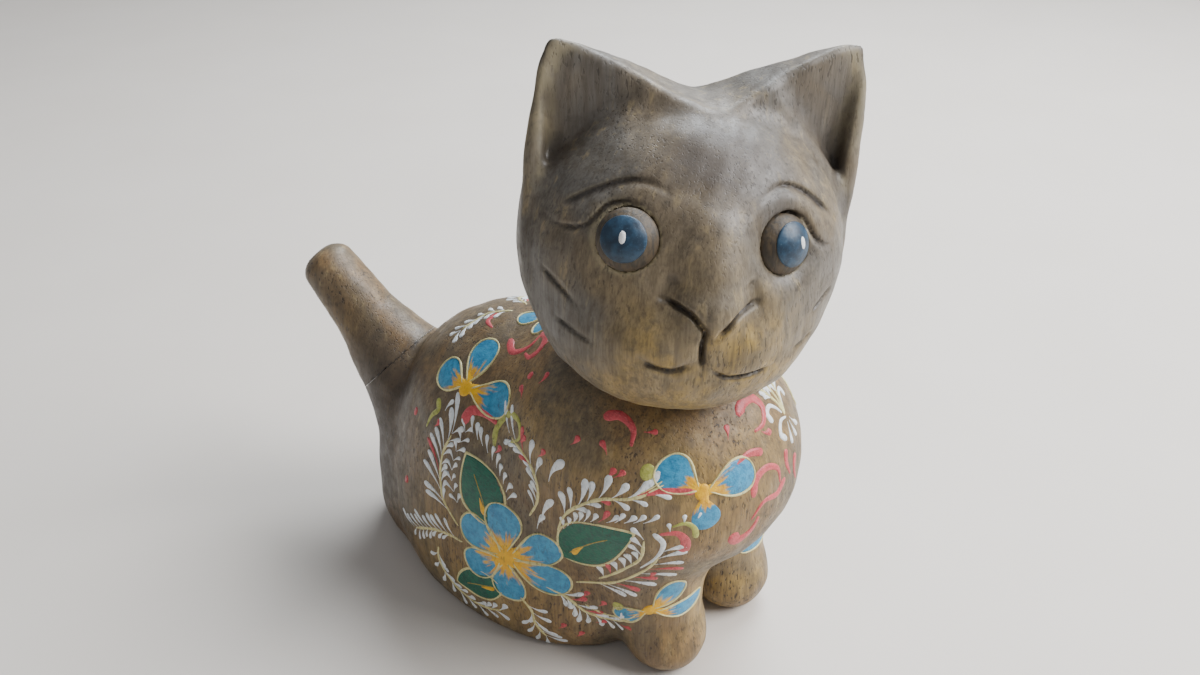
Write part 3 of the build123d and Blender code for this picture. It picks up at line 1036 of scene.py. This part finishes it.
def paint_flank(sheet):
    leaf(sheet, (-4, 6.2), (-11, 20), 12, -0.06)
    leaf(sheet, (12.8, 4.8), (29.2, 19.4), 11.2, 0.06)
    leaf(sheet, (-1.2, -9.4), (-14.2, -14.4), 8.4, -0.05)
    blades = [(158, 12.2, 8), (213, 12, 7.6), (272, 11.4, 8),
              (35, 14.2, 7.6), (-12, 14.6, 7.7), (91, 12.6, 8.8)]
    flower(sheet, (0, 0), blades, 3.2)
    # the long stem over the right-hand leaf
    over = [(12.5, 12.5), (15, 18.5), (19, 23), (23, 25.5), (28.5, 27), (34, 30.5)]
    frond(sheet, over, (LEFT, 6, 4.4, 38, 0.2, 0.80, 0.74), (RIGHT, 5, 3, 32, 0.30, 0.86, 0.5, 2))
    along_leaf = [(12.5, 9.5), (14.5, 14.5), (19, 18.6), (24.5, 20.8), (30.5, 22)]
    frond(sheet, along_leaf, (LEFT, 10, 2.7, 34, 0.2, 1, 0.5, 6), drawn=False)
    comma(white, sheet, (14.5, 30), (11, 23.5), -0.25, 1.05)
    comma(white, sheet, (12.2, 20.5), (8.6, 11.5), -0.18, 0.85)
    comma(white, sheet, (9.6, 15), (7.2, 9.6), -0.15, 0.7)
    # the stem right of the upright leaf
    beside = [(5.5, 12.5), (8, 18), (7.8, 23), (4.5, 26.5), (0, 28)]
    frond(sheet, beside, (RIGHT, 4, 4.6, 46, 0.55, 1, 0.66, 2),
          (LEFT, 7, 3, 40, 0.16, 0.92, 0.5, 5))
    edge = [(-0.2, 10.5), (-0.4, 15.5), (-4, 20.5), (-10, 24)]
    frond(sheet, edge, (RIGHT, 8, 2.6, 48, 0.18, 1, 0.5), drawn=False)
    # the fern left of it
    fern = [(-12, 2.5), (-16.5, 7), (-17.8, 12), (-17.5, 17), (-15.5, 22)]
    frond(sheet, fern, (LEFT, 8, 5.4, 34, 0.16, 0.98, 0.6, 4), (RIGHT, 7, 2.8, 38, 0.25, 1, 0.5))
    inner = [(-11.5, 6.5), (-14.2, 11.5), (-14.3, 17), (-12.2, 23.5)]
    for side in (RIGHT, LEFT):
        frond(sheet, inner, (side, 6, 1.9, 40, 0.1, 1, 0.42), drawn=False)
    fan = [(-11, -1), (-16, -1.5), (-21.5, -3.5), (-27.5, -7.5)]
    frond(sheet, fan, (RIGHT, 8, 3.8, 48, 0.12, 1, 0.5), (LEFT, 6, 2.6, 40, 0.2, 0.95, 0.42))
    # round the lowest leaf
    under = [(-19, -7), (-19.5, -11.5), (-16, -16.5), (-9, -18.5), (-2, -16.5)]
    frond(sheet, under, (LEFT, 8, 3, 40, 0.08, 0.96, 0.56), (RIGHT, 7, 3, 42, 0.08, 0.9, 0.5))
    stalk = [(3, -9.5), (5.4, -13), (5.8, -17), (8, -21)]
    frond(sheet, stalk, (LEFT, 5, 3.6, 44, 0.2, 0.95, 0.5), (RIGHT, 4, 3.4, 40, 0.3, 0.95, 0.48))
    # towards the foot
    low = [(8.5, -4.5), (13, -6.5), (17.5, -10.5), (22, -11.5), (27, -8.5)]
    frond(sheet, low, (LEFT, 6, 3.4, 36, 0.16, 0.8, 0.52, 1, 3),
          (RIGHT, 6, 3.2, 44, 0.14, 0.72, 0.54))
    # towards the shoulder
    ahead = [(15, -2), (21.5, 1), (27.5, 5.5), (31.5, 10), (34, 15.5)]
    frond(sheet, ahead, (RIGHT, 8, 4.4, 42, 0.2, 0.98, 0.64, 2, 4, 6))
    bough = [(20.5, 2), (26, 7.5), (30, 12.5), (31, 18)]
    frond(sheet, bough, (LEFT, 7, 2.6, 52, 0.1, 1, 0.6, 1))
    scroll(white, sheet, [(32.5, 20), (34.3, 17.5), (33, 13.5), (29.5, 9)], 0.55)
    for spot, way in (((37.5, 24.5), (0, -2.4)), ((40, 24.8), (-0.8, -2)), ((35, 22.6), (0.4, -2.2))):
        comma(white, sheet, spot, np.add(spot, way), 0.1, 0.5)
    for spot in ((-2.5, 24.8), (4.2, 30.5), (16.5, 35.5), (24.5, 32), (32, 8), (17.5, -4),
                 (21, -5.8), (-19.5, 23.5), (9.5, 30.4), (12.5, -14.5), (16, -16.5)):
        comma(coral, sheet, spot, np.add(spot, (-1.6, -2.2)), 0.25, 0.75)
    for spot in ((-28.5, 20.5), (-30, 4)):
        dab(coral, sheet, spot, 0.9)


def paint_rear(sheet):
    flower(sheet, (0, 0), [(172, 10.2, 7.2), (101, 11.4, 7), (14, 13, 7.6)], 2)
    scroll(coral, sheet, [(3, -6.5), (4, -3.2), (7.5, -2.2), (12.5, -2.6)], 1.1)
    curl = [(12.5, -7), (11.8, -3), (14, 0.6), (18, 0.8), (19.5, -2), (16.5, -4.2)]
    scroll(pale_green, sheet, curl, 0.75)
    scroll(pale_green, sheet, [(-6.5, -5), (-5, -7), (-6.5, -9), (-7.5, -12)], 0.7)
    comma(white, sheet, (-1.5, -3.5), (-2.8, -6.6), -0.2, 0.6)
    scroll(coral, sheet, [(8.5, 17.5), (11.6, 17.4), (13.2, 14.8), (11.5, 12.2), (9, 12.4)], 0.95)
    dab(coral, sheet, (15.5, 9.5), 0.8)
    comma(coral, sheet, (14.2, 6.6), (16.4, 4.4), 0.3, 0.8)
    comma(coral, sheet, (20, 12), (19, 9), 0.3, 0.7)


def paint_shoulder(sheet):
    scroll(coral, sheet, [(-1, 0.6), (-4.5, 0.9), (-8.6, 0.9), (-12, 0.2)], 0.85)
    flower(sheet, (0, 0), [(280, 7.6, 6), (137, 9.6, 7.4), (13, 10.8, 6.8)], 1.8, unedged=(0,))
    dab(pale_green, sheet, (-9.6, 4.6), 1.5)
    thread(cream, sheet, [(-7, 3), (-8.6, 2), (-11.5, 0.6)], 0.2)
    scroll(pale_green, sheet, [(-1.2, -9.5), (-1.6, -7), (-3.4, -5.8), (-5.8, -6.4)], 0.6)
    scroll(coral, sheet, [(-3.4, -13), (-3, -10.2), (-4.6, -8), (-8, -8)], 1)
    scroll(coral, sheet, [(-16, 14), (-13, 14.2), (-11.2, 12), (-12, 9)], 0.9)
    comma(coral, sheet, (-17, 10), (-16.2, 7.4), 0.2, 0.7)
    comma(coral, sheet, (-7, 11.5), (-9.6, 11.6), 0.1, 0.6)
    comma(coral, sheet, (-13.5, 5), (-15.6, 3.6), 0.2, 0.7)


def paint_foot(sheet):
    thread(cream, sheet, [(-13, -5), (-9, -7.2), (-4.5, -5.6), (-2, -2)], 0.26)
    dab(pale_green, sheet, (-6.2, -2.4), 1.35)
    flower(sheet, (0, -0.8), [(216, 8.4, 4.4), (-6, 10.6, 3.8), (46, 9.4, 5.6)], 1.6)
    for spot in ((-8.5, -10), (-3.5, -8.5)):
        comma(coral, sheet, spot, np.add(spot, (-2.4, -0.6)), 0.2, 0.75)


def paint_chest(sheet):
    scroll(coral, sheet, [(-1.6, 5.2), (0.8, 6.8), (3.8, 6.6), (5.2, 4.2), (3.4, 1.6), (0.4, 1.2)], 1)
    scroll(coral, sheet, [(1, -3), (-2.6, -1.8), (-6.2, -2.6)], 0.75)
    scroll(coral, sheet, [(-3.8, -10.2), (-2.6, -7.2), (0.8, -6.2), (3.8, -7.8), (4.2, -11)], 0.85)
    scroll(coral, sheet, [(6, -10.6), (3, -12.6), (-1.2, -12.2), (-4.4, -14.6)], 0.7)
    scroll(coral, sheet, [(-8.4, -15.4), (-6.6, -17.6), (-3.8, -17), (-2.2, -14.6)], 1.2)
    scroll(coral, sheet, [(7.4, -5.4), (7, -8.2), (8, -11)], 0.65)
    scroll(coral, sheet, [(10.6, -7.6), (10, -10.6), (11.2, -13.6)], 0.65)
    comma(coral, sheet, (-4.6, 5), (-5.6, 2.2), 0.1, 0.7)
    comma(coral, sheet, (4.6, -0.4), (2, 0.8), 0.3, 0.8)


def paint_far_shoulder(sheet):
    """White sprays that rise over the shoulder under the chin."""
    for stem in ([(0, 0), (-0.6, 4), (-2.4, 8.5)], [(0, 0), (0.8, 4.5), (1, 9.5)],
                 [(0, 0), (2.4, 4), (4.4, 8)]):
        frond(sheet, stem, *((edge, 3, 2.6, 30, 0.45, 1, 0.5) for edge in (LEFT, RIGHT)))
    scroll(white, sheet, [(-5.2, 1.8), (-5, 4), (-2.8, 4.2), (-0.6, 0.8)], 0.62)
    scroll(white, sheet, [(-3.6, -3.2), (-4.8, -1.2), (-2.8, 0.4), (0, -0.4)], 0.6)
    scroll(white, sheet, [(5.4, 1.2), (5, 3.2), (2.8, 3.2), (0.4, 0.6)], 0.55)
    for head, tail in (((-2.2, -5.2), (-0.4, -1)), ((1, -5.4), (0.4, -1.2)),
                       ((3.8, -4.4), (1, -1))):
        comma(white, sheet, head, tail, 0.12, 0.7)


def paint_back(sheet):
    blades = [(18, 8.2, 5), (90, 8.6, 5.2), (162, 8.2, 5), (234, 7.6, 4.8), (306, 7.6, 4.8)]
    flower(sheet, (0, 0), blades, 1.5)
    for side in (LEFT, RIGHT):
        outer = [(side * 9.5, -4), (side * 12.5, -1), (side * 11.5, 3.4), (side * 8.5, 4.6)]
        scroll(coral, sheet, outer, 0.8)
        scroll(coral, sheet, [(side * 4, -12), (side * 7, -12.6), (side * 8.6, -9.8)], 0.7)
        stem = [(side * 2, -9.5), (side * 5, -15), (side * 10, -18.5)]
        frond(sheet, stem, *((edge, 5, 2.8, 40, 0.12, 1, 0.56) for edge in (LEFT, RIGHT)))
        comma(coral, sheet, (side * 13.5, 8), (side * 11, 10), 0.2, 0.7)


def one_paint(name, look_name, *colours):
    """A paint from its own colour, a deeper one and a paler one."""
    return Paint(name, paint_look(look_name, *colours))


petals = Paint("petal_paint", petal_look())
cream = one_paint("cream_lines", "cream_paint", (222, 212, 150), (192, 180, 116), (236, 230, 184))
white = one_paint("white_strokes", "white_paint", (236, 240, 240), (206, 215, 220), (248, 249, 248))
green = one_paint("leaf_paint", "green_paint", (0, 94, 72), (0, 68, 58), (14, 112, 84))
orange = one_paint("orange_strokes", "orange_paint", (240, 184, 0), (222, 156, 0), (244, 200, 10))
coral = one_paint("coral_strokes", "coral_paint", (208, 80, 86), (172, 60, 66), (224, 120, 122))
pale_green = one_paint("green_curls", "curl_paint", (176, 178, 84), (132, 136, 56), (200, 200, 120))
vein_gold = one_paint("leaf_veins", "vein_paint", (178, 150, 60), (132, 116, 48), (206, 184, 100))

paint_flank(Sheet((-27, -4.5, 25)))
paint_rear(Sheet((-18.5, 13.5, 54.5)))
paint_shoulder(Sheet((-12, -41.5, 53.5)))
paint_foot(Sheet((-16.5, -34, 21)))
paint_chest(Sheet((1, -43.5, 59)))
paint_far_shoulder(Sheet((12.5, -43, 58)))
paint_back(Sheet((2, 8, 65)))
paint_flank(Sheet((30, 1, 25), mirror=True))
paint_rear(Sheet((21.5, 18, 54.5), mirror=True))
paint_shoulder(Sheet((25, -28, 52), mirror=True))
paint_foot(Sheet((21.5, -31, 21), mirror=True))

for paint in (petals, cream, white, green, orange, coral, pale_green, vein_gold):
    paint.finish()

# ======== eyes ========

IRIS_RADIUS, IRIS_RISE, GLINT_RADIUS = 3.65, 0.2, 0.8
IRIS_AXIS = np.array([0.41, -0.87, 0.27])
GLINT_AT = {"left": (1.1, 0.0), "right": (0.0, 0.3)}


def bead_look():
    """The turned eye: oiled dark wood."""
    look = Look("eye_wood", 0.58)
    grain = look.noise(1.0, 3.0, look.stretched((1500.0, 1500.0, 260.0)), distortion=0.4)
    colour = look.mix(look.fade(grain, 0.36, 0.64), (80, 67, 48), (56, 49, 39))
    look.colour(colour)
    look.bump(grain, 0.0002, 0.5)
    return look.material


def turned(name, profile, centre, axis, around=64):
    """A closed turned solid from (radius, height) pairs, bottom first, both ends on the axis."""
    beside = np.cross(axis, (0, 0, 1.0))
    beside /= np.linalg.norm(beside)
    beyond = np.cross(axis, beside)
    angles = np.linspace(0, 2 * math.pi, around, endpoint=False)[:, None]
    ring = np.cos(angles) * beside + np.sin(angles) * beyond
    rings = [centre + radius * ring + height * axis for radius, height in profile[1:-1]]
    ends = [centre + profile[0][1] * axis, centre + profile[-1][1] * axis]
    points = np.vstack(rings + ends)
    low, high = len(points) - 2, len(points) - 1
    here = np.arange(around)
    ahead = np.roll(here, -1)
    faces = []
    for k in range(len(rings) - 1):
        a, b = k * around, (k + 1) * around
        faces += list(zip(a + here, a + ahead, b + ahead))
        faces += list(zip(a + here, b + ahead, b + here))
    top = (len(rings) - 1) * around
    faces += [(low, j, i) for i, j in zip(here, ahead)]
    faces += [(high, top + i, top + j) for i, j in zip(here, ahead)]
    return mesh_object(name, points, faces)


def iris_profile():
    """A thin lens of enamel over the dome, with a rounded edge, from inside the dome outwards."""
    widest = math.asin(IRIS_RADIUS / DOME_RADIUS)
    under = [(DOME_RADIUS - PAINT_ROOT, angle) for angle in np.linspace(0, widest, 5)]
    edge = math.radians(3)
    over = [(DOME_RADIUS + IRIS_RISE * math.sqrt(1 - (1 - t) ** 2), widest - t * edge)
            for t in (0.1, 0.35, 0.65, 1.0)]
    over += [(DOME_RADIUS + IRIS_RISE, angle) for angle in np.linspace(widest - edge, 0, 14)[1:]]
    return [(r * math.sin(angle), r * math.cos(angle)) for r, angle in under + over]


def eye(side, word):
    """A turned wooden eye in its socket, with a painted iris and a white glint."""
    place = from_head(EYE * (side, 1, 1) + (EYE_MIDDLE, 0, 0))
    axis = (EYE_AXIS * (side, 1, 1)) @ HEAD_AXES
    middle = place - (DOME_RADIUS - EYE_DOME) * axis
    rim_angle = math.asin(EYE_RADIUS / DOME_RADIUS)
    profile = [(0, -EYE_DEPTH), (EYE_RADIUS - 0.5, -EYE_DEPTH), (EYE_RADIUS, -EYE_DEPTH + 0.5)]
    for angle in np.linspace(rim_angle, 0, 18):
        height = EYE_DOME - DOME_RADIUS * (1 - math.cos(angle))
        profile.append((DOME_RADIUS * math.sin(angle), height))
    bead = turned(word + "_eye_bead", profile, place, axis)
    bead.data.materials.append(bead_wood)
    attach(bead, "root")
    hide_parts(word + "_eye")

    def dome(p):
        return np.linalg.norm(p - middle, axis=-1) - DOME_RADIUS

    gaze = (IRIS_AXIS * (side, 1, 1)) @ HEAD_AXES
    gaze /= np.linalg.norm(gaze)
    iris = turned(word + "_eye_iris", iris_profile(), middle, gaze)
    iris.data.materials.append(iris_enamel)
    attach(iris, "root")
    sheet = Sheet(middle + DOME_RADIUS * gaze, dome)
    glint = Paint(word + "_eye_glint", glint_enamel, dome, "painted_eye")
    dab(glint, sheet, GLINT_AT[word], GLINT_RADIUS, 1.3, 0.3, lean=0)
    glint.finish()


bead_wood = bead_look()
iris_enamel = eye_look()
glint_enamel = paint_look("glint_enamel", (236, 238, 236), (214, 220, 222), (248, 248, 246), 0.3)
eye(LEFT, "left")
eye(RIGHT, "right")

# ======== stage ========

FLOOR_HALF, FLOOR_DROP = 0.9, 0.0001
bpy.ops.mesh.primitive_plane_add(size=2 * FLOOR_HALF, location=(0, 0, -FLOOR_DROP))
floor = bpy.context.object
floor.name = "floor"
floor.data.materials.append(floor_look())

VIEW_AIM = np.array([10.0, 2.0, 58.0])
VIEW_AZIMUTH, VIEW_ELEVATION, VIEW_DISTANCE, VIEW_WIDTH = -49.0, 32.0, 222.0, 60.0


def point_at(obj, azimuth, elevation, distance):
    """Places it that far from the aim, looking at it; azimuth 0 is in front of the body."""
    a, e = math.radians(azimuth), math.radians(elevation)
    away = np.array([math.sin(a) * math.cos(e), -math.cos(a) * math.cos(e), math.sin(e)])
    obj.location = Vector((VIEW_AIM + distance * away) * METRES)
    towards = Vector(VIEW_AIM * METRES) - obj.location
    obj.rotation_euler = towards.to_track_quat("-Z", "Y").to_euler()


camera_data = bpy.data.cameras.new("camera")
camera_data.angle = math.radians(VIEW_WIDTH)
camera_data.clip_start = 0.01
camera = bpy.data.objects.new("camera", camera_data)
bpy.context.scene.collection.objects.link(camera)
point_at(camera, VIEW_AZIMUTH, VIEW_ELEVATION, VIEW_DISTANCE)
bpy.context.scene.camera = camera


def soft_light(name, azimuth, elevation, distance, size, power, colour):
    data = bpy.data.lights.new(name, "AREA")
    data.shape = "DISK"
    data.size = size
    data.energy = power
    data.color = colour
    light = bpy.data.objects.new(name, data)
    bpy.context.scene.collection.objects.link(light)
    point_at(light, azimuth, elevation, distance)


soft_light("window", 105, 50, 700, 0.5, 8.0, (0.88, 0.94, 1.0))
soft_light("key", 34, 40, 800, 0.6, 12.5, (0.98, 0.98, 1.0))
soft_light("side", -95, 35, 800, 0.7, 0.3, (1.0, 0.98, 0.96))

world = bpy.data.worlds.new("studio")
world.use_nodes = True
sky = world.node_tree.nodes["Background"].inputs
sky["Color"].default_value = (0.90, 0.93, 1.0, 1.0)
sky["Strength"].default_value = 0.29
bpy.context.scene.world = world
